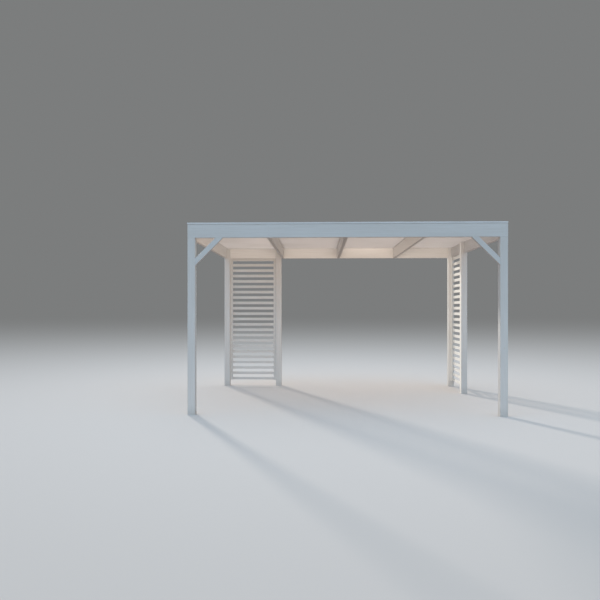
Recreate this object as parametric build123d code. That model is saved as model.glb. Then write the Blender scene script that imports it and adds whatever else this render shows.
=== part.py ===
from build123d import *
import os

# Timber frame, measured to the outer faces of the posts and beams
WIDTH = 4000
DEPTH = 3000
HEADROOM = 2235
POST = 95
BEAM_THICK = 45
BEAM_HEIGHT = 170
RAFTER_THICK = 45
RAFTER_HEIGHT = 170
ARRIS = 3

# Knee braces in the two front corners
BRACE_LEG = 350
BRACE_WIDTH = 65
BRACE_DEPTH = 45

# Slatted screens, one bay wide, between two posts
SCREEN_MODULE = 1000
SCREEN_FOOT = 100
BATTEN_WIDTH = 45
SLAT_HEIGHT = 45
SLAT_THICK = 21
SLAT_COUNT = 23
SLAT_PLAY = 1.5
SLAT_ARRIS = 2

# Roof sheets on rubber strips
SHEET_THICK = 16
SHEET_PLAY = 1
SEAL_THICK = 4
SEAL_WIDTH = 40
SEAL_GAP = 2

# Cover bars over the joints between the sheets
BAR_WIDTH = 60
BAR_LIP = 2
BAR_CROWN = 5
BAR_WEB = 8
BAR_PLAY = 3

# Edge profiles round the roof, mitred at the corners
EDGE_STANDOFF = 4
EDGE_WALL = 1.5
EDGE_FLANGE = 30
EDGE_LIP = 7

# Places worked out from the sizes above
LEFT, RIGHT = -WIDTH / 2, WIDTH / 2
FRONT, REAR = -DEPTH / 2, DEPTH / 2
FRAME_TOP = HEADROOM + BEAM_HEIGHT
SHEET_LOW = FRAME_TOP + SEAL_THICK
SHEET_TOP = SHEET_LOW + SHEET_THICK
SCREEN_POST_X = LEFT + SCREEN_MODULE - POST
SCREEN_POST_Y = REAR - SCREEN_MODULE
SIDE_RAFTER_X = LEFT + SCREEN_MODULE + RAFTER_THICK / 2
RAFTERS = {"left": SIDE_RAFTER_X, "middle": 0, "right": -SIDE_RAFTER_X}


def spans_box(x, y, z):
    """A plain block that fills the given spans along X, Y and Z."""
    spans = (x, y, z)
    centre = [(low + high) / 2 for low, high in spans]
    size = [high - low for low, high in spans]
    return Pos(*centre) * Box(*size)


def timber(x, y, z, arris=ARRIS):
    """A planed timber that fills the given spans, with its four long edges rounded."""
    block = spans_box(x, y, z)
    lengths = [high - low for low, high in (x, y, z)]
    grain = (Axis.X, Axis.Y, Axis.Z)[lengths.index(max(lengths))]
    return fillet(block.edges().filter_by(grain), arris)


def from_low(start, length):
    return (start, start + length)


def save(name, shape):
    shape.label = name
    export_step(shape, f"parts/{name}.step")


# Posts are notched at the head, so that the beams sit on them and lie flush outside
def front_seat(x):
    return spans_box(x, from_low(FRONT, BEAM_THICK), (HEADROOM, FRAME_TOP))


def rear_seat(x):
    return spans_box(x, (REAR - BEAM_THICK, REAR), (HEADROOM, FRAME_TOP))


def left_seat(y):
    return spans_box(from_low(LEFT, BEAM_THICK), y, (HEADROOM, FRAME_TOP))


def right_seat(y):
    return spans_box((RIGHT - BEAM_THICK, RIGHT), y, (HEADROOM, FRAME_TOP))


def post(x, y, seats):
    body = timber(x, y, (0, FRAME_TOP))
    for seat in seats:
        body -= seat
    return body


def posts():
    left_x = from_low(LEFT, POST)
    right_x = (RIGHT - POST, RIGHT)
    front_y = from_low(FRONT, POST)
    rear_y = (REAR - POST, REAR)
    screen_x = from_low(SCREEN_POST_X, POST)
    screen_y = from_low(SCREEN_POST_Y, POST)
    save("front_left_post", post(left_x, front_y, [front_seat(left_x), left_seat(front_y)]))
    save("front_right_post", post(right_x, front_y, [front_seat(right_x), right_seat(front_y)]))
    save("rear_left_post", post(left_x, rear_y, [rear_seat(left_x), left_seat(rear_y)]))
    save("rear_right_post", post(right_x, rear_y, [rear_seat(right_x), right_seat(rear_y)]))
    save("rear_screen_post", post(screen_x, rear_y, [rear_seat(screen_x)]))
    save("right_screen_post", post(right_x, screen_y, [right_seat(screen_y)]))


# The front and rear beams run the full width, and the rest butts between them
def beams():
    level = (HEADROOM, FRAME_TOP)
    inner_y = (FRONT + BEAM_THICK, REAR - BEAM_THICK)
    save("front_beam", timber((LEFT, RIGHT), from_low(FRONT, BEAM_THICK), level))
    save("rear_beam", timber((LEFT, RIGHT), (REAR - BEAM_THICK, REAR), level))
    save("left_beam", timber(from_low(LEFT, BEAM_THICK), inner_y, level))
    save("right_beam", timber((RIGHT - BEAM_THICK, RIGHT), inner_y, level))
    for name, x in RAFTERS.items():
        across = from_low(x - RAFTER_THICK / 2, RAFTER_THICK)
        save(f"{name}_rafter", timber(across, inner_y, (FRAME_TOP - RAFTER_HEIGHT, FRAME_TOP)))


# Each brace is cut at 45 degrees at both ends, flush with the face of the front beam
def brace(corner_x, inward):
    foot = BRACE_WIDTH * 2**0.5
    outline = Polyline(
        (corner_x, HEADROOM - BRACE_LEG),
        (corner_x + inward * BRACE_LEG, HEADROOM),
        (corner_x + inward * (BRACE_LEG - foot), HEADROOM),
        (corner_x, HEADROOM - BRACE_LEG + foot),
        close=True,
    )
    face = Plane.XZ.offset(-FRONT) * make_face(outline)
    body = extrude(face, BRACE_DEPTH, dir=(0, 1, 0))
    return fillet(body.edges().filter_by(Axis((0, 0, 0), (inward, 0, 1))), ARRIS)


def braces():
    save("left_brace", brace(LEFT + POST, 1))
    save("right_brace", brace(RIGHT - POST, -1))


# A screen is made along X, with its outer face at y = 0 and its inner side at negative y
def screen():
    bay = SCREEN_MODULE - 2 * POST
    level = (SCREEN_FOOT, HEADROOM)
    depth = (-BEAM_THICK, -SLAT_THICK)
    first = timber(from_low(0, BATTEN_WIDTH), depth, level, SLAT_ARRIS)
    last = timber((bay - BATTEN_WIDTH, bay), depth, level, SLAT_ARRIS)
    pitch = (HEADROOM - SCREEN_FOOT - SLAT_HEIGHT) / (SLAT_COUNT - 1)
    across = (SLAT_PLAY, bay - SLAT_PLAY)
    slats = []
    for row in range(SLAT_COUNT):
        rise = from_low(SCREEN_FOOT + row * pitch, SLAT_HEIGHT)
        slats.append(timber(across, (-SLAT_THICK, 0), rise, SLAT_ARRIS))
    return first, last, Compound(children=slats)


def screens():
    at_rear = Pos(LEFT + POST, REAR, 0)
    at_right = Pos(RIGHT, REAR - POST, 0) * Rot(0, 0, -90)
    first, last, slats = screen()
    save("rear_screen_left_batten", at_rear * first)
    save("rear_screen_right_batten", at_rear * last)
    save("rear_screen_slats", at_rear * slats)
    save("right_screen_rear_batten", at_right * first)
    save("right_screen_front_batten", at_right * last)
    save("right_screen_slats", at_right * slats)


# Rubber strips lie on the beams, flush with their inner faces, and along the rafters' middles
def seals():
    level = from_low(FRAME_TOP, SEAL_THICK)
    inset = BEAM_THICK - SEAL_WIDTH
    front_y = from_low(FRONT + inset, SEAL_WIDTH)
    rear_y = (REAR - inset - SEAL_WIDTH, REAR - inset)
    full_x = (LEFT + inset, RIGHT - inset)
    inner_y = (front_y[1] + SEAL_GAP, rear_y[0] - SEAL_GAP)
    lows = [full_x[0], *(x - SEAL_WIDTH / 2 for x in RAFTERS.values()), full_x[1] - SEAL_WIDTH]
    strips = [spans_box(full_x, front_y, level), spans_box(full_x, rear_y, level)]
    for low in lows:
        strips.append(spans_box(from_low(low, SEAL_WIDTH), inner_y, level))
    save("roof_seals", Compound(children=strips))


# Four sheets span from front to rear, with a joint over each rafter
def sheets():
    reach = EDGE_STANDOFF - EDGE_WALL - SHEET_PLAY
    joint = BAR_WEB / 2 + BAR_PLAY
    y = (FRONT - reach, REAR + reach)
    lows = [LEFT - reach] + [x + joint for x in RAFTERS.values()]
    highs = [x - joint for x in RAFTERS.values()] + [RIGHT + reach]
    names = ("left", "middle_left", "middle_right", "right")
    for name, low, high in zip(names, lows, highs):
        save(f"{name}_roof_sheet", spans_box((low, high), y, (SHEET_LOW, SHEET_TOP)))


# A cover bar has a low arched cap, and a web that stands between two sheets
def cover_bars():
    half = BAR_WIDTH / 2
    cap = Polyline(
        (half, BAR_LIP),
        (half, 0),
        (BAR_WEB / 2, 0),
        (BAR_WEB / 2, -SHEET_THICK),
        (-BAR_WEB / 2, -SHEET_THICK),
        (-BAR_WEB / 2, 0),
        (-half, 0),
        (-half, BAR_LIP),
    )
    crown = ThreePointArc((-half, BAR_LIP), (0, BAR_CROWN), (half, BAR_LIP))
    section = make_face([cap, crown])
    length = DEPTH - 2 * (EDGE_FLANGE - EDGE_STANDOFF)
    for name, x in RAFTERS.items():
        place = Plane(origin=(x, length / 2, SHEET_TOP), x_dir=(1, 0, 0), z_dir=(0, -1, 0))
        save(f"{name}_cover_bar", extrude(place * section, length))


# An edge profile grips the sheet between a flange on top and a short lip, clear of the beam
def edge_profile(half_run, face):
    low = SHEET_LOW - EDGE_WALL
    top = SHEET_TOP + EDGE_WALL
    outline = Polyline(
        (face, low),
        (face, top),
        (face - EDGE_FLANGE, top),
        (face - EDGE_FLANGE, SHEET_TOP),
        (face - EDGE_WALL, SHEET_TOP),
        (face - EDGE_WALL, SHEET_LOW),
        (face - EDGE_LIP, SHEET_LOW),
        (face - EDGE_LIP, low),
        close=True,
    )
    section = Plane(origin=(-half_run, 0, 0), x_dir=(0, 1, 0), z_dir=(1, 0, 0)) * make_face(outline)
    length = extrude(section, 2 * half_run)
    mitre = Polyline(
        (-half_run, face),
        (half_run, face),
        (half_run - EDGE_FLANGE, face - EDGE_FLANGE),
        (-half_run + EDGE_FLANGE, face - EDGE_FLANGE),
        close=True,
    )
    keep = extrude(Pos(0, 0, low) * make_face(mitre), top - low)
    return length & keep


def edge_profiles():
    half_width = WIDTH / 2 + EDGE_STANDOFF
    half_depth = DEPTH / 2 + EDGE_STANDOFF
    save("rear_edge_profile", edge_profile(half_width, half_depth))
    save("front_edge_profile", Rot(0, 0, 180) * edge_profile(half_width, half_depth))
    save("left_edge_profile", Rot(0, 0, 90) * edge_profile(half_depth, half_width))
    save("right_edge_profile", Rot(0, 0, -90) * edge_profile(half_depth, half_width))


os.makedirs("parts", exist_ok=True)
posts()
beams()
braces()
screens()
seals()
sheets()
cover_bars()
edge_profiles()
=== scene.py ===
import math

import bpy
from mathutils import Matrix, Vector


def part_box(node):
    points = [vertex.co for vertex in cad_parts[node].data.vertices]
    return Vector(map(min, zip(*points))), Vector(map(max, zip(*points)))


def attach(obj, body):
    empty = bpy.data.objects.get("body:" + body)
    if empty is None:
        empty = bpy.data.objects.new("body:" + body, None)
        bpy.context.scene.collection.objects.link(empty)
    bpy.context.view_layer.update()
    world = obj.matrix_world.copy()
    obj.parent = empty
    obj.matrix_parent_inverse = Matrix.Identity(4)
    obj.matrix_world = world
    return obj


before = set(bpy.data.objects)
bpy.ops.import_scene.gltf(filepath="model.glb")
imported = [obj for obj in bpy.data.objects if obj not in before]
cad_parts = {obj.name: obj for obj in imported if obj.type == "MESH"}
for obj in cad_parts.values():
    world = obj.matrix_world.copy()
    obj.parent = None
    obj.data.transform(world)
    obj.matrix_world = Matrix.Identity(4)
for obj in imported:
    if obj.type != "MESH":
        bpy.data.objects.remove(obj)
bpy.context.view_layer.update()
bpy.ops.object.select_all(action="DESELECT")

# Posts
# Six planed softwood posts, 95 mm square, notched at the head for the beams. Opaque white
# paint covers them: the grain shows as a faint relief, and a few knots have yellowed it.
POSTS = (
    "front_left_post",
    "front_right_post",
    "rear_left_post",
    "rear_right_post",
    "rear_screen_post",
    "right_screen_post",
)
POST_TONES = (1.0, 0.985, 0.97, 0.99, 0.965, 1.01)
PAINT_LIGHT = (0.80, 0.80, 0.78)
PAINT_DARK = (0.71, 0.70, 0.665)
PAINT_ROUGHNESS = (0.42, 0.56)
PAINT_RELIEF = 0.00028
GRAIN_UP = (0, math.pi / 2, 0)
FIBRE_STRETCH = (3, 90, 90)
FIBRE_RANGE = (0.35, 0.75)
FIBRE_SHARE = 0.55
FIBRE_RELIEF = 0.8
PATCH_STRETCH = (0.7, 5, 5)
PATCH_RANGE = (0.4, 0.75)
PATCH_SHARE = 0.5
PATCH_GLOSS_RANGE = (0.3, 0.8)
RING_STRETCH = (0.04, 1, 1)
RING_SPACING = 0.007
RING_WAVER = 9.0
RING_WAVER_SCALE = 0.25
WAVE_PERIOD = 0.314
KNOT_STRETCH = (3.6, 7, 7)
KNOT_RADIUS = 0.016
KNOT_CHANCE = 0.3
KNOT_STAIN = (0.62, 0.53, 0.37)
KNOT_STAIN_SHARE = 0.34
KNOT_RELIEF = 0.6
FOOT_STAIN = (0.46, 0.43, 0.37)
FOOT_STAIN_HEIGHT = 0.14
FOOT_STAIN_SHARE = 0.55
SPLASH_SCALE = 22.0
BOARD_SHIFT = 9.0


def add_node(finish, kind, feeds, **settings):
    """Adds a shader node to a finish, and feeds its sockets with values or other nodes."""
    node = finish.node_tree.nodes.new("ShaderNode" + kind)
    for name, value in settings.items():
        setattr(node, name, value)
    for socket, value in feeds.items():
        if isinstance(value, bpy.types.NodeSocket):
            finish.node_tree.links.new(value, node.inputs[socket])
        elif isinstance(value, tuple) and node.inputs[socket].type == "RGBA":
            node.inputs[socket].default_value = (*value, 1)
        else:
            node.inputs[socket].default_value = value
    return node


def new_finish(name):
    """A finish with one shader, and the place on the object that its pattern follows."""
    finish = bpy.data.materials.new(name)
    finish.use_nodes = True
    place = add_node(finish, "TexCoord", {}).outputs["Object"]
    return finish, finish.node_tree.nodes["Principled BSDF"], place


def calculate(finish, operation, first, second=0.0, third=0.0):
    feeds = {0: first, 1: second, 2: third}
    return add_node(finish, "Math", feeds, operation=operation).outputs[0]


def stretch(finish, place, scale):
    return add_node(finish, "VectorMath", {0: place, 1: scale}, operation="MULTIPLY").outputs[0]


def cloud(finish, place, scale, detail=2.0):
    noise = {"Vector": place, "Scale": scale, "Detail": detail}
    return add_node(finish, "TexNoise", noise).outputs["Fac"]


def fade(finish, value, span, levels=(0.0, 1.0)):
    """Goes smoothly from the first level to the second while the value crosses the span."""
    (start, end), (low, high) = span, levels
    limits = {"Value": value, "From Min": start, "From Max": end, "To Min": low, "To Max": high}
    return add_node(finish, "MapRange", limits, interpolation_type="SMOOTHSTEP").outputs["Result"]


def tint(finish, share, under, over):
    """Lays one colour over another. A Mix node takes colours at sockets 6 and 7."""
    colours = {"Factor": share, 6: under, 7: over}
    return add_node(finish, "Mix", colours, data_type="RGBA").outputs[2]


def wire_surface(finish, surface, colour, roughness, height, depth):
    """Feeds a finish's colour, roughness and relief, whose depth is in metres."""
    relief = add_node(finish, "Bump", {"Height": height, "Distance": depth}).outputs[0]
    feeds = {"Base Color": colour, "Roughness": roughness, "Normal": relief}
    for socket, output in feeds.items():
        finish.node_tree.links.new(output, surface.inputs[socket])


def board_of_its_own(finish, place, along, pitch):
    """Shifts the pattern from slat to slat, as no two slats are cut from the same spot."""
    height = add_node(finish, "SeparateXYZ", {0: place}).outputs["Z"]
    row = calculate(finish, "FLOOR", calculate(finish, "DIVIDE", height, pitch))
    board = add_node(finish, "TexWhiteNoise", {"W": row}, noise_dimensions="1D").outputs["Value"]
    lengthwise = calculate(finish, "MULTIPLY", board, BOARD_SHIFT)
    shift = add_node(finish, "CombineXYZ", {0: lengthwise, 1: row}).outputs[0]
    return add_node(finish, "VectorMath", {0: along, 1: shift}).outputs[0]


def growth_rings(finish, along):
    """Rings as waves. A wave of scale 1 repeats after WAVE_PERIOD."""
    waves = {
        "Vector": stretch(finish, along, RING_STRETCH),
        "Scale": WAVE_PERIOD / RING_SPACING,
        "Distortion": RING_WAVER,
        "Detail": 1.0,
        "Detail Scale": RING_WAVER_SCALE,
    }
    return add_node(finish, "TexWave", waves, bands_direction="Y").outputs["Fac"]


def knots(finish, along):
    """Marks that fade out towards their rim, in only some of the cells of a pattern."""
    pattern = {"Vector": stretch(finish, along, KNOT_STRETCH), "Scale": 1.0}
    cells = add_node(finish, "TexVoronoi", pattern)
    chance = add_node(finish, "SeparateColor", {0: cells.outputs["Color"]}).outputs[0]
    present = calculate(finish, "LESS_THAN", chance, KNOT_CHANCE)
    rim = KNOT_STRETCH[1] * KNOT_RADIUS
    knot = fade(finish, cells.outputs["Distance"], (rim, rim / 3))
    return calculate(finish, "MULTIPLY", knot, present)


def splashes(finish, place):
    """Splashed dirt, strongest at the floor."""
    height = add_node(finish, "SeparateXYZ", {0: place}).outputs["Z"]
    near_floor = fade(finish, height, (FOOT_STAIN_HEIGHT, 0.0), (0.0, FOOT_STAIN_SHARE))
    drops = cloud(finish, place, SPLASH_SCALE, detail=4.0)
    return calculate(finish, "MULTIPLY", near_floor, drops)


def white_paint(name, grain, tone=1.0, pitch=None):
    """White paint on softwood. grain turns the pattern along the timber, and pitch is the
    height from one slat to the next, where each slat is a board of its own."""
    finish, surface, place = new_finish(name)
    along = add_node(finish, "Mapping", {"Vector": place, "Rotation": grain}).outputs[0]
    if pitch:
        along = board_of_its_own(finish, place, along, pitch)
    light = tuple(value * tone for value in PAINT_LIGHT)
    dark = tuple(value * tone for value in PAINT_DARK)
    fibres = cloud(finish, stretch(finish, along, FIBRE_STRETCH), 1.0, detail=3.0)
    patches = cloud(finish, stretch(finish, along, PATCH_STRETCH), 1.0)
    knot = knots(finish, along)

    colour = tint(finish, fade(finish, fibres, FIBRE_RANGE, (0.0, FIBRE_SHARE)), light, dark)
    colour = tint(finish, fade(finish, patches, PATCH_RANGE, (0.0, PATCH_SHARE)), colour, dark)
    knot_stain = calculate(finish, "MULTIPLY", knot, KNOT_STAIN_SHARE)
    colour = tint(finish, knot_stain, colour, KNOT_STAIN)
    colour = tint(finish, splashes(finish, place), colour, FOOT_STAIN)

    roughness = fade(finish, patches, PATCH_GLOSS_RANGE, PAINT_ROUGHNESS)
    rings = growth_rings(finish, along)
    relief = calculate(finish, "MULTIPLY_ADD", fibres, FIBRE_RELIEF, rings)
    knot_hollow = calculate(finish, "MULTIPLY", knot, KNOT_RELIEF)
    relief = calculate(finish, "SUBTRACT", relief, knot_hollow)
    wire_surface(finish, surface, colour, roughness, relief, PAINT_RELIEF)
    return finish


def give_finish(piece, finish):
    piece.data.materials.clear()
    piece.data.materials.append(finish)


for post, tone in zip(POSTS, POST_TONES):
    give_finish(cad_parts[post], white_paint(f"{post}_paint", GRAIN_UP, tone))

# Beams
# Four planks of 45 x 170 mm, flush in the posts' notches, front and rear over the full width.
# Countersunk screws, painted over, hold them to the posts and to what butts against them.
GRAIN_ACROSS = (0, 0, 0)
GRAIN_BACK = (0, 0, -math.pi / 2)
HEAD_RADIUS = 0.0055
HEAD_SIDES = 12
HEAD_SUNK = 0.001
HEAD_PROUD = 0.0008
HEAD_RIM = 0.0008
HEAD_CROWN = 0.0005
HEAD_TONE = 0.97
RECESS_RADIUS = 0.003
RECESS_DEPTH = 0.0009
RECESS_WAIST = 0.72
FACING_UP = 0.9
LEVEL_SLACK = 1e-5
CENTRE_SLACK = 1e-4
SMOOTH_BELOW = math.radians(30)
END_SCREW_HEIGHTS = (0.035, 0.085, 0.135)
POST_SCREW_HEIGHTS = (0.055, 0.115)
TONGUE_CENTRE = 0.07


def pick_faces(piece, wanted):
    """Selects the faces of a piece that wanted accepts, and opens the piece for editing."""
    bpy.ops.object.mode_set(mode="EDIT")
    bpy.ops.mesh.select_mode(type="FACE")
    bpy.ops.mesh.select_all(action="DESELECT")
    bpy.ops.object.mode_set(mode="OBJECT")
    for face in piece.data.polygons:
        face.select = wanted(face)
    bpy.ops.object.mode_set(mode="EDIT")


def pinch_recess(piece):
    """Draws every second corner of the chosen face inwards, which makes a six-point star."""
    bpy.ops.object.mode_set(mode="OBJECT")
    star = next(face for face in piece.data.polygons if face.select)
    inner_corners = list(star.vertices)[::2]
    bpy.ops.object.mode_set(mode="EDIT")
    bpy.ops.mesh.select_mode(type="VERT")
    bpy.ops.mesh.select_all(action="DESELECT")
    bpy.ops.object.mode_set(mode="OBJECT")
    for corner in inner_corners:
        piece.data.vertices[corner].select = True
    bpy.ops.object.mode_set(mode="EDIT")
    bpy.ops.transform.resize(value=(RECESS_WAIST, RECESS_WAIST, 1), center_override=(0, 0, 0))


def screw_head():
    """A countersunk head with a star recess, facing up, with the timber's face at the origin."""
    bpy.ops.mesh.primitive_cylinder_add(
        vertices=HEAD_SIDES,
        radius=HEAD_RADIUS,
        depth=HEAD_PROUD + HEAD_SUNK,
        location=(0, 0, (HEAD_PROUD - HEAD_SUNK) / 2),
    )
    head = bpy.context.object
    bpy.ops.object.transform_apply()
    pick_faces(head, lambda face: face.normal.z > FACING_UP)
    bpy.ops.mesh.inset(thickness=HEAD_RIM, depth=HEAD_CROWN)
    bpy.ops.mesh.inset(thickness=HEAD_RADIUS - HEAD_RIM - RECESS_RADIUS)
    pinch_recess(head)
    top = HEAD_PROUD + HEAD_CROWN - LEVEL_SLACK
    pick_faces(head, lambda face: face.center.z > top and face.center.xy.length < CENTRE_SLACK)
    bpy.ops.mesh.extrude_region_move(TRANSFORM_OT_translate={"value": (0, 0, -RECESS_DEPTH)})
    bpy.ops.object.mode_set(mode="OBJECT")
    return head


def drive_screws(name, head, places, facing):
    """Copies a head to each place, turned to face outwards, and joins them as one piece."""
    turn = Vector(facing).to_track_quat("Z", "Y").to_euler()
    bpy.ops.object.select_all(action="DESELECT")
    for place in places:
        copy = bpy.data.objects.new(name, head.data.copy())
        bpy.context.scene.collection.objects.link(copy)
        copy.location = place
        copy.rotation_euler = turn
        copy.select_set(True)
        bpy.context.view_layer.objects.active = copy
    bpy.ops.object.join()
    bpy.ops.object.transform_apply()
    bpy.ops.object.shade_smooth_by_angle(angle=SMOOTH_BELOW)
    screws = bpy.context.object
    bpy.ops.object.select_all(action="DESELECT")
    return screws


def across_middle(node, axis):
    """The middle of a node's width along one axis."""
    low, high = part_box(node)
    return (low[axis] + high[axis]) / 2


for beam, grain, tone in (
    ("front_beam", GRAIN_ACROSS, 1.0),
    ("rear_beam", GRAIN_ACROSS, 0.985),
    ("left_beam", GRAIN_BACK, 0.975),
    ("right_beam", GRAIN_BACK, 0.99),
):
    give_finish(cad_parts[beam], white_paint(f"{beam}_paint", grain, tone))

beam_low, beam_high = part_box("front_beam")
left_face, right_face = beam_low.x, beam_high.x
front_face = beam_low.y
rear_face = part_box("rear_beam")[1].y


def screw_rows(spots, heights):
    """Where screws sit on a beam's face: at each spot along it, at each height on it."""
    return [(spot, beam_low.z + up) for spot in spots for up in heights]


butting_timbers = ("left_beam", "left_rafter", "middle_rafter", "right_rafter", "right_beam")
butting_x = [across_middle(timber, 0) for timber in butting_timbers]
posts_x = (left_face + TONGUE_CENTRE, right_face - TONGUE_CENTRE)
posts_y = (front_face + TONGUE_CENTRE, rear_face - TONGUE_CENTRE)
rear_screen_x = across_middle("rear_screen_post", 0)
right_screen_y = across_middle("right_screen_post", 1)
front_rows = screw_rows(butting_x, END_SCREW_HEIGHTS) + screw_rows(posts_x, POST_SCREW_HEIGHTS)
rear_rows = front_rows + screw_rows([rear_screen_x], POST_SCREW_HEIGHTS)
left_rows = screw_rows(posts_y, POST_SCREW_HEIGHTS)
right_rows = left_rows + screw_rows([right_screen_y], POST_SCREW_HEIGHTS)

head = screw_head()
head_paint = white_paint("screw_head_paint", GRAIN_UP, HEAD_TONE)
for name, places, facing in (
    ("front_beam_screws", [(x, front_face, z) for x, z in front_rows], (0, -1, 0)),
    ("rear_beam_screws", [(x, rear_face, z) for x, z in rear_rows], (0, 1, 0)),
    ("left_beam_screws", [(left_face, y, z) for y, z in left_rows], (-1, 0, 0)),
    ("right_beam_screws", [(right_face, y, z) for y, z in right_rows], (1, 0, 0)),
):
    screws = drive_screws(name, head, places, facing)
    give_finish(screws, head_paint)
    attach(screws, "root")

# Rafters
# Three planks of the beams' section, butted between the front and rear beams, flush on top.
# The screws in the beams hold them.
for rafter, tone in (("left_rafter", 0.98), ("middle_rafter", 1.0), ("right_rafter", 0.97)):
    give_finish(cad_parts[rafter], white_paint(f"{rafter}_paint", GRAIN_BACK, tone))

# Knee braces
# Two timbers of 45 x 65 mm, cut at 45 degrees at both ends, in the plane of the front beam.
# Two painted screws at each end go through the lower edge into the post and the beam.
BRACE_END = 0.038
BRACE_SCREW_SPREAD = 0.022
for brace, inward, grain_turn, tone in (
    ("left_brace", 1, math.pi / 4, 0.99),
    ("right_brace", -1, 3 * math.pi / 4, 0.98),
):
    give_finish(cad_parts[brace], white_paint(f"{brace}_paint", (0, grain_turn, 0), tone))
    low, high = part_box(brace)
    post_x, beam_x = (low.x, high.x) if inward > 0 else (high.x, low.x)
    step = BRACE_END / math.sqrt(2)
    ends = ((post_x + inward * step, low.z + step), (beam_x - inward * step, high.z - step))
    middle_y = across_middle(brace, 1)
    spread = (middle_y - BRACE_SCREW_SPREAD / 2, middle_y + BRACE_SCREW_SPREAD / 2)
    places = [(x, y, z) for x, z in ends for y in spread]
    screws = drive_screws(f"{brace}_screws", head, places, (inward, 0, -1))
    give_finish(screws, head_paint)
    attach(screws, "root")

# Screens
# Each bay has two battens screwed to its posts, and 23 slats of 21 x 45 mm with gaps of 50 mm.
# Every slat has two stainless screws at each end, in its outer face.
SLAT_COUNT = 23
SLAT_HEIGHT = 0.045
SLAT_SCREW_HEIGHTS = (0.0125, 0.0325)
SLAT_TONE = 0.99
BATTEN_SCREW_COUNT = 5
BATTEN_END = 0.15
BATTEN_TONE = 0.98
STEEL = (0.63, 0.62, 0.60)
STEEL_DULL = (0.50, 0.49, 0.47)
STEEL_GRAIN = 700.0
STEEL_ROUGHNESS = (0.28, 0.45)
STEEL_RELIEF = 0.00002
CLOUD_RANGE = (0.3, 0.7)


def stainless_steel(name):
    """Bright drawn steel, slightly dulled outdoors."""
    finish, surface, place = new_finish(name)
    dull = cloud(finish, place, STEEL_GRAIN)
    colour = tint(finish, dull, STEEL, STEEL_DULL)
    roughness = fade(finish, dull, CLOUD_RANGE, STEEL_ROUGHNESS)
    surface.inputs["Metallic"].default_value = 1.0
    wire_surface(finish, surface, colour, roughness, dull, STEEL_RELIEF)
    return finish


def join_screws(name, groups):
    bpy.ops.object.select_all(action="DESELECT")
    for group in groups:
        group.select_set(True)
    bpy.context.view_layer.objects.active = groups[0]
    bpy.ops.object.join()
    groups[0].name = name
    bpy.ops.object.select_all(action="DESELECT")
    return groups[0]


steel = stainless_steel("stainless_steel")
for screen, first_batten, last_batten, axis, facing in (
    ("rear_screen", "left_batten", "right_batten", 0, (0, 1, 0)),
    ("right_screen", "front_batten", "rear_batten", 1, (1, 0, 0)),
):
    battens = (f"{screen}_{first_batten}", f"{screen}_{last_batten}")
    slats = f"{screen}_slats"
    slats_low, slats_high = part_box(slats)
    outer_face = slats_high[1 - axis]
    pitch = (slats_high.z - slats_low.z - SLAT_HEIGHT) / (SLAT_COUNT - 1)
    grain = GRAIN_ACROSS if axis == 0 else GRAIN_BACK
    give_finish(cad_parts[slats], white_paint(f"{slats}_paint", grain, SLAT_TONE, pitch))
    places = []
    for row in range(SLAT_COUNT):
        for up in SLAT_SCREW_HEIGHTS:
            for batten in battens:
                place = Vector((0, 0, slats_low.z + row * pitch + up))
                place[axis] = across_middle(batten, axis)
                place[1 - axis] = outer_face
                places.append(place)
    screws = drive_screws(f"{slats}_screws", head, places, facing)
    give_finish(screws, steel)
    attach(screws, "root")
    groups = []
    for batten, side in zip(battens, (1, -1)):
        give_finish(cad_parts[batten], white_paint(f"{batten}_paint", GRAIN_UP, BATTEN_TONE))
        low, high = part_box(batten)
        spacing = (high.z - low.z - 2 * BATTEN_END) / (BATTEN_SCREW_COUNT - 1)
        places = []
        for row in range(BATTEN_SCREW_COUNT):
            place = Vector((0, 0, low.z + BATTEN_END + row * spacing))
            place[axis] = high[axis] if side > 0 else low[axis]
            place[1 - axis] = across_middle(batten, 1 - axis)
            places.append(place)
        into_bay = Vector((0, 0, 0))
        into_bay[axis] = side
        groups.append(drive_screws(f"{batten}_screws", head, places, into_bay))
    screws = join_screws(f"{screen}_batten_screws", groups)
    give_finish(screws, head_paint)
    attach(screws, "root")
bpy.data.objects.remove(head)

# Rubber strips
# Flat strips of light grey rubber, 4 mm thick, lie on the beams and along the rafters. The
# sheets rest on them, held down by the bars and profiles above.
RUBBER = (0.62, 0.62, 0.61)
RUBBER_DUSTY = (0.68, 0.67, 0.65)
RUBBER_DUST_SCALE = 60.0
RUBBER_SPECULAR = 0.3
RUBBER_ROUGHNESS = (0.7, 0.9)
RUBBER_RELIEF = 0.0001
rubber, surface, place = new_finish("seal_rubber")
dust = cloud(rubber, place, RUBBER_DUST_SCALE, detail=4.0)
rubber_colour = tint(rubber, dust, RUBBER, RUBBER_DUSTY)
roughness = fade(rubber, dust, CLOUD_RANGE, RUBBER_ROUGHNESS)
surface.inputs["Specular IOR Level"].default_value = RUBBER_SPECULAR
wire_surface(rubber, surface, rubber_colour, roughness, dust, RUBBER_RELIEF)
give_finish(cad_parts["roof_seals"], rubber)

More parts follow.
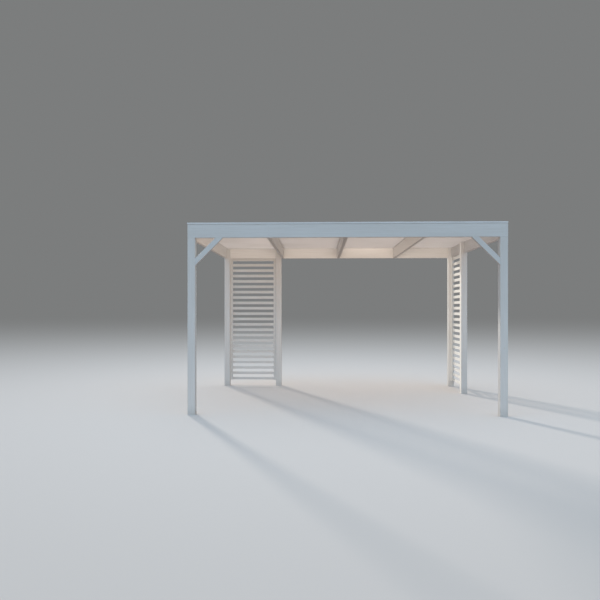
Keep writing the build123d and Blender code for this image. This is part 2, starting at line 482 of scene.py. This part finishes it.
# Roof sheets
# Four opal twin-wall sheets, 16 mm thick, that let a soft light through. Their channels run
# from front to rear every 20 mm, and faint cloudy patches of painted shade lie on them.
ROOF_SHEETS = (
    "left_roof_sheet",
    "middle_left_roof_sheet",
    "middle_right_roof_sheet",
    "right_roof_sheet",
)
# The sheet's colour and the colour of the light through it, plain, and at the ribs and the
# painted shade
OPAL = (0.90, 0.89, 0.87)
OPAL_AT_RIBS_AND_SHADE = (0.80, 0.775, 0.735)
OPAL_GLOW = (0.97, 0.90, 0.86)
OPAL_SHADE = (0.84, 0.78, 0.73)
OPAL_SPECULAR = 0.28
OPAL_ROUGHNESS = (0.56, 0.68)
LIGHT_THROUGH = 0.46
CHANNEL = 0.02
RIB_WIDTH = 0.12
RIB_SHARE = 0.5
RIB_RELIEF = 0.0004
# Soft cloudy patches of painted shade, moved from sheet to sheet
PAINTED_SHADE_SCALE = 1.6
PAINTED_SHADE_RANGE = (0.42, 0.72)
PAINTED_SHADE_SHARE = 0.4
PAINTED_SHADE_SHIFT = (3.7, 1.9, 0)
SHEET_DUST_SCALE = 35.0


def mix_shaders(finish, share, first, second, output="Material Output"):
    """Sends two shaders to the output, with the given share of the second."""
    both = add_node(finish, "MixShader", {"Fac": share, 1: first, 2: second}).outputs[0]
    finish.node_tree.links.new(both, finish.node_tree.nodes[output].inputs["Surface"])


def opal_sheet(name, shift):
    """A white sheet mixed with light that comes through it, darker at its ribs and in cloudy
    patches of painted shade.
    """
    finish, surface, place = new_finish(name)
    moved = add_node(finish, "Mapping", {"Vector": place, "Location": shift}).outputs[0]
    # Cloudy patches of painted shade darken both the sheet's colour and the light through it
    painted_shade = fade(finish, cloud(finish, moved, PAINTED_SHADE_SCALE), PAINTED_SHADE_RANGE)
    across = add_node(finish, "SeparateXYZ", {0: place}).outputs["X"]
    # The distance to the nearest rib is half a channel at most
    from_rib = calculate(finish, "PINGPONG", calculate(finish, "DIVIDE", across, CHANNEL), 0.5)
    rib = fade(finish, from_rib, (RIB_WIDTH, 0.0))
    painted_shade_marks = calculate(finish, "MULTIPLY", painted_shade, PAINTED_SHADE_SHARE)
    rib_marks = calculate(finish, "MULTIPLY", rib, RIB_SHARE)
    rib_and_shade_marks = calculate(finish, "MAXIMUM", painted_shade_marks, rib_marks)
    dust = cloud(finish, place, SHEET_DUST_SCALE, detail=3.0)
    colour = tint(finish, rib_and_shade_marks, OPAL, OPAL_AT_RIBS_AND_SHADE)
    roughness = fade(finish, dust, CLOUD_RANGE, OPAL_ROUGHNESS)
    surface.inputs["Specular IOR Level"].default_value = OPAL_SPECULAR
    wire_surface(finish, surface, colour, roughness, rib, RIB_RELIEF)
    glow_colour = tint(finish, rib_and_shade_marks, OPAL_GLOW, OPAL_SHADE)
    glow = add_node(finish, "BsdfTranslucent", {"Color": glow_colour})
    mix_shaders(finish, LIGHT_THROUGH, surface.outputs[0], glow.outputs[0])
    return finish


for number, sheet in enumerate(ROOF_SHEETS):
    shift = tuple(number * step for step in PAINTED_SHADE_SHIFT)
    give_finish(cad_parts[sheet], opal_sheet(f"{sheet}_opal", shift))

# Cover bars
# Three aluminium bars with a low arched cap close the joints between the sheets. White powder
# coat covers them, and washered screws along the middle hold them to the rafters.
COVER_BARS = ("left_cover_bar", "middle_cover_bar", "right_cover_bar")
COAT_LIGHT = (0.86, 0.87, 0.87)
COAT_DUSTY = (0.77, 0.77, 0.75)
COAT_ROUGHNESS = (0.42, 0.55)
COAT_PEEL_SCALE = 900.0
COAT_PEEL_RELIEF = 0.00003
COAT_DUST_SCALE = 4.0
COAT_DUST_RANGE = (0.45, 0.75)
COAT_DUST_SHARE = 0.7
WASHER_RADIUS = 0.007
WASHER_HEIGHT = 0.0012
WASHER_RIM = WASHER_RADIUS / 3
WASHER_DOME = WASHER_HEIGHT / 4
HEX_RADIUS = 0.0046
HEX_HEIGHT = 0.0026
HEX_EDGE = 0.0006
BAR_SCREW_COUNT = 9
BAR_END = 0.12
UPWARDS = (0, 0, 1)


def powder_coat(name):
    """A hard satin coat with a fine orange-peel surface and a little dust."""
    finish, surface, place = new_finish(name)
    dust = cloud(finish, place, COAT_DUST_SCALE, detail=5.0)
    peel = cloud(finish, place, COAT_PEEL_SCALE, detail=1.0)
    dust_marks = fade(finish, dust, COAT_DUST_RANGE, (0.0, COAT_DUST_SHARE))
    colour = tint(finish, dust_marks, COAT_LIGHT, COAT_DUSTY)
    roughness = fade(finish, dust, CLOUD_RANGE, COAT_ROUGHNESS)
    wire_surface(finish, surface, colour, roughness, peel, COAT_PEEL_RELIEF)
    return finish


def washered_head():
    """A washer with a hexagon head on it, facing up, with its lower half below the origin."""
    bpy.ops.mesh.primitive_cylinder_add(
        vertices=HEAD_SIDES,
        radius=WASHER_RADIUS,
        depth=2 * WASHER_HEIGHT,
        location=(0, 0, 0),
    )
    washer = bpy.context.object
    pick_faces(washer, lambda face: face.normal.z > FACING_UP)
    bpy.ops.mesh.inset(thickness=WASHER_RIM, depth=WASHER_DOME)
    bpy.ops.object.mode_set(mode="OBJECT")
    bpy.ops.mesh.primitive_cylinder_add(
        vertices=6,
        radius=HEX_RADIUS,
        depth=HEX_HEIGHT,
        location=(0, 0, WASHER_HEIGHT + HEX_HEIGHT / 2),
    )
    hexagon = bpy.context.object
    pick_faces(hexagon, lambda face: face.normal.z > FACING_UP)
    bpy.ops.mesh.bevel(offset=HEX_EDGE, segments=1)
    bpy.ops.object.mode_set(mode="OBJECT")
    washer.select_set(True)
    bpy.context.view_layer.objects.active = washer
    bpy.ops.object.join()
    bpy.ops.object.transform_apply()
    return washer


coat = powder_coat("white_powder_coat")
washered = washered_head()
bar_low, bar_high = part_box("middle_cover_bar")
spacing = (bar_high.y - bar_low.y - 2 * BAR_END) / (BAR_SCREW_COUNT - 1)
rows_y = [bar_low.y + BAR_END + row * spacing for row in range(BAR_SCREW_COUNT)]
for bar in COVER_BARS:
    give_finish(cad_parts[bar], coat)
    places = [(across_middle(bar, 0), y, bar_high.z) for y in rows_y]
    screws = drive_screws(f"{bar}_screws", washered, places, UPWARDS)
    give_finish(screws, steel)
    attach(screws, "root")

# Edge profiles
# Four folded aluminium profiles, mitred at the corners, cap the edges of the sheets. They have
# the same powder coat, and washered screws through the top flange.
MITRE_SHADE = (0.30, 0.30, 0.30)
MITRE_WIDTH = 0.0012
FLANGE_MIDDLE = 0.015
EDGE_SCREW_GAP = 0.42
EDGE_END = 0.1
roof_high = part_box("rear_edge_profile")[1]
half_width = roof_high.x
half_depth = roof_high.y

# The mitres run at 45 degrees, so one line in the folded plan draws all four
edge_coat = powder_coat("edge_powder_coat")
surface = edge_coat.node_tree.nodes["Principled BSDF"]
coat_colour = surface.inputs["Base Color"].links[0].from_socket
place = add_node(edge_coat, "TexCoord", {}).outputs["Object"]
folded = add_node(edge_coat, "VectorMath", {0: place}, operation="ABSOLUTE").outputs[0]
plan = add_node(edge_coat, "SeparateXYZ", {0: folded}).outputs
off_mitre = calculate(edge_coat, "SUBTRACT", plan["X"], plan["Y"])
off_mitre = calculate(edge_coat, "SUBTRACT", off_mitre, half_width - half_depth)
off_mitre = calculate(edge_coat, "ABSOLUTE", off_mitre)
mitre = fade(edge_coat, off_mitre, (MITRE_WIDTH, 0.0))
edge_colour = tint(edge_coat, mitre, coat_colour, MITRE_SHADE)
edge_coat.node_tree.links.new(edge_colour, surface.inputs["Base Color"])

for profile, axis, side in (
    ("front_edge_profile", 0, -1),
    ("rear_edge_profile", 0, 1),
    ("left_edge_profile", 1, -1),
    ("right_edge_profile", 1, 1),
):
    give_finish(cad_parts[profile], edge_coat)
    run = half_width if axis == 0 else half_depth
    out = half_depth if axis == 0 else half_width
    count = 2 * int((run - EDGE_END) / EDGE_SCREW_GAP) + 1
    places = []
    for row in range(count):
        place = Vector((0, 0, roof_high.z))
        place[axis] = (row - (count - 1) / 2) * EDGE_SCREW_GAP
        place[1 - axis] = side * (out - FLANGE_MIDDLE)
        places.append(place)
    screws = drive_screws(f"{profile}_screws", washered, places, UPWARDS)
    give_finish(screws, steel)
    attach(screws, "root")
bpy.data.objects.remove(washered)

# Studio
# A pale floor that fades into a plain backdrop, a sky that is cool in front, and a warm key
# light from behind on the left. Soft lamps lift the shade, each on its own timbers or sheets.
FLOOR_SIZE = 400
FLOOR_NEAR = (0.745, 0.70, 0.67)
FLOOR_BOUNCE = (0.36, 0.28, 0.24)
FLOOR_ROUGHNESS = 0.9
BACKDROP = (0.20, 0.205, 0.205)
FADE_REACH = 8.8
FADE_RANGE = (0.2, 0.95)
SKY_FRONT = (0.74, 1.01, 1.27)
SKY_BACK = (0.96, 0.96, 0.96)
SKY_TURN = 0.4
SKY_STRENGTH = 0.78
KEY_FROM = (-0.416, 0.861, 0.292)
KEY_COLOUR = (1.0, 0.94, 0.86)
KEY_STRENGTH = 1.95
KEY_SOFTNESS = math.radians(5)
LAMP_WARM = (1.0, 0.83, 0.71)
LAMP_COOL = (0.86, 0.88, 1.0)
LAMP_SUNNY = (1.0, 0.96, 0.88)

# Where a lamp stands, the way that it faces, and its width and height
FROM_BELOW = ((0.1, 0.5, 0.4), (0, 0, 1), (3.0, 2.2))
FROM_FRONT = ((0, -2.6, 1.6), (0, 1, 0), (3.4, 0.6))
FROM_WITHIN = ((0, -1.3, 1.9), (0, 1, 0), (3.4, 0.6))
FROM_LOW_LEFT = ((-2.1, -3.2, 0.1), (0, 1, 0), (0.6, 0.3))
FROM_LOW_RIGHT = ((2.1, -3.2, 0.1), (0, 1, 0), (0.6, 0.3))
FROM_LEFT = ((-3.2, 0, 1.5), (1, 0, 0.15), (2.6, 0.8))
FROM_LEFT_REAR = ((-3.2, 0.9, 1.1), (1, 0, 0), (2.0, 1.4))
FROM_RIGHT = ((3.2, 0, 1.5), (-1, 0, 0.15), (2.6, 0.8))
UNDER_ROOF = ((0.49, 1.34, 2.395), (0, 1, 0), (0.85, 0.02))
REAR_UPRIGHTS = (
    "rear_left_post",
    "rear_screen_post",
    "rear_screen_left_batten",
    "rear_screen_right_batten",
    "rear_screen_slats",
)
RIGHT_SCREEN = (
    "right_screen_post",
    "right_screen_front_batten",
    "right_screen_rear_batten",
    "right_screen_slats",
)

# What each lamp lights, where it stands, its power in watts and its colour
SOFT_LAMPS = (
    (ROOF_SHEETS, FROM_BELOW, 14, LAMP_WARM),
    (("left_roof_sheet",), FROM_BELOW, 11, LAMP_WARM),
    (("rear_beam",), FROM_FRONT, 68, LAMP_WARM),
    (("rear_beam",), UNDER_ROOF, 0.1, LAMP_WARM),
    (("roof_seals",), FROM_WITHIN, 70, LAMP_WARM),
    (("left_beam",), FROM_FRONT, 47, LAMP_WARM),
    (("right_beam",), FROM_FRONT, 20, LAMP_COOL),
    (REAR_UPRIGHTS, FROM_FRONT, 37, LAMP_WARM),
    (("rear_right_post",), FROM_FRONT, 49, LAMP_WARM),
    (RIGHT_SCREEN, FROM_FRONT, 22, LAMP_WARM),
    (RIGHT_SCREEN, FROM_LEFT_REAR, 98, LAMP_SUNNY),
    (("rear_right_post",), FROM_LEFT_REAR, 30, LAMP_SUNNY),
    (("front_left_post",), FROM_LOW_LEFT, 3, LAMP_WARM),
    (("front_right_post",), FROM_LOW_RIGHT, 3, LAMP_WARM),
    (("right_rafter",), FROM_LEFT, 52, LAMP_WARM),
    (("left_rafter",), FROM_RIGHT, 7, LAMP_WARM),
)

bpy.ops.mesh.primitive_plane_add(size=FLOOR_SIZE)
floor = bpy.context.object
floor.name = "floor"
floor_finish, surface, place = new_finish("floor")

# The share of backdrop in the floor is 0 at the middle and nears 1 far away
reach = add_node(floor_finish, "VectorMath", {0: place}, operation="LENGTH").outputs["Value"]
beyond = calculate(floor_finish, "ADD", reach, FADE_REACH)
far_share = calculate(floor_finish, "DIVIDE", reach, beyond)
seen_directly = add_node(floor_finish, "LightPath", {}).outputs["Is Camera Ray"]
faded = fade(floor_finish, far_share, FADE_RANGE)
faded = calculate(floor_finish, "MULTIPLY", faded, seen_directly)
floor_colour = tint(floor_finish, seen_directly, FLOOR_BOUNCE, FLOOR_NEAR)
floor_finish.node_tree.links.new(floor_colour, surface.inputs["Base Color"])
surface.inputs["Roughness"].default_value = FLOOR_ROUGHNESS
surface.inputs["Specular IOR Level"].default_value = 0.0
distance = add_node(floor_finish, "Emission", {"Color": BACKDROP, "Strength": 1.0})
mix_shaders(floor_finish, faded, surface.outputs[0], distance.outputs[0])
give_finish(floor, floor_finish)

world = bpy.data.worlds.new("studio")
world.use_nodes = True
bpy.context.scene.world = world
fill = world.node_tree.nodes["Background"]
direction = add_node(world, "TexCoord", {}).outputs["Generated"]
to_rear = add_node(world, "SeparateXYZ", {0: direction}).outputs["Y"]
sky = tint(world, fade(world, to_rear, (SKY_TURN, -SKY_TURN)), SKY_BACK, SKY_FRONT)
world.node_tree.links.new(sky, fill.inputs["Color"])
fill.inputs["Strength"].default_value = SKY_STRENGTH
seen = add_node(world, "Background", {"Color": BACKDROP, "Strength": 1.0})

# The camera and all that is glossy or clear see the plain backdrop in place of the sky
ray = add_node(world, "LightPath", {}).outputs
shown = calculate(world, "MAXIMUM", ray["Is Camera Ray"], ray["Is Glossy Ray"])
shown = calculate(world, "MAXIMUM", shown, ray["Is Transmission Ray"])
not_diffused = calculate(world, "SUBTRACT", 1.0, ray["Is Diffuse Ray"])
shown = calculate(world, "MULTIPLY", shown, not_diffused)
mix_shaders(world, shown, fill.outputs[0], seen.outputs[0], "World Output")

key_turn = Vector(KEY_FROM).to_track_quat("Z", "Y").to_euler()
bpy.ops.object.light_add(type="SUN", rotation=key_turn)
key = bpy.context.object
key.data.color = KEY_COLOUR
key.data.energy = KEY_STRENGTH
key.data.angle = KEY_SOFTNESS


def soft_lamp(name, lit_nodes, place, facing, size, power, colour):
    """A wide lamp that lights only the named nodes, as flags round a real one would have it."""
    turn = Vector(facing).to_track_quat("-Z", "Z").to_euler()
    bpy.ops.object.light_add(type="AREA", location=place, rotation=turn)
    lamp = bpy.context.object
    lamp.data.shape = "RECTANGLE"
    lamp.data.size, lamp.data.size_y = size
    lamp.data.color = colour
    lamp.data.energy = power
    lamp.visible_camera = False
    lit = bpy.data.collections.new(name)
    for node in lit_nodes:
        lit.objects.link(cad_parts[node])
    lamp.light_linking.receiver_collection = lit


for number, (lit_nodes, (place, facing, size), power, colour) in enumerate(SOFT_LAMPS):
    soft_lamp(f"soft_lamp_{number}", lit_nodes, place, facing, size, power, colour)
bpy.context.scene.view_settings.view_transform = "Standard"

# Camera
# Eye height, 7.3 m in front of the open side and left of its middle. The lens and the shift
# give the photograph's own framing.
CAMERA_PLACE = (-0.3447, -8.8366, 1.3223)
CAMERA_TURN = math.radians(1.838)
LENS = 35.135
SENSOR = 36
SHIFT_UP = 0.01709
bpy.ops.object.camera_add(location=CAMERA_PLACE, rotation=(math.pi / 2, 0, CAMERA_TURN))
camera = bpy.context.object
camera.data.lens = LENS
camera.data.sensor_width = SENSOR
camera.data.shift_y = SHIFT_UP
bpy.context.scene.camera = camera
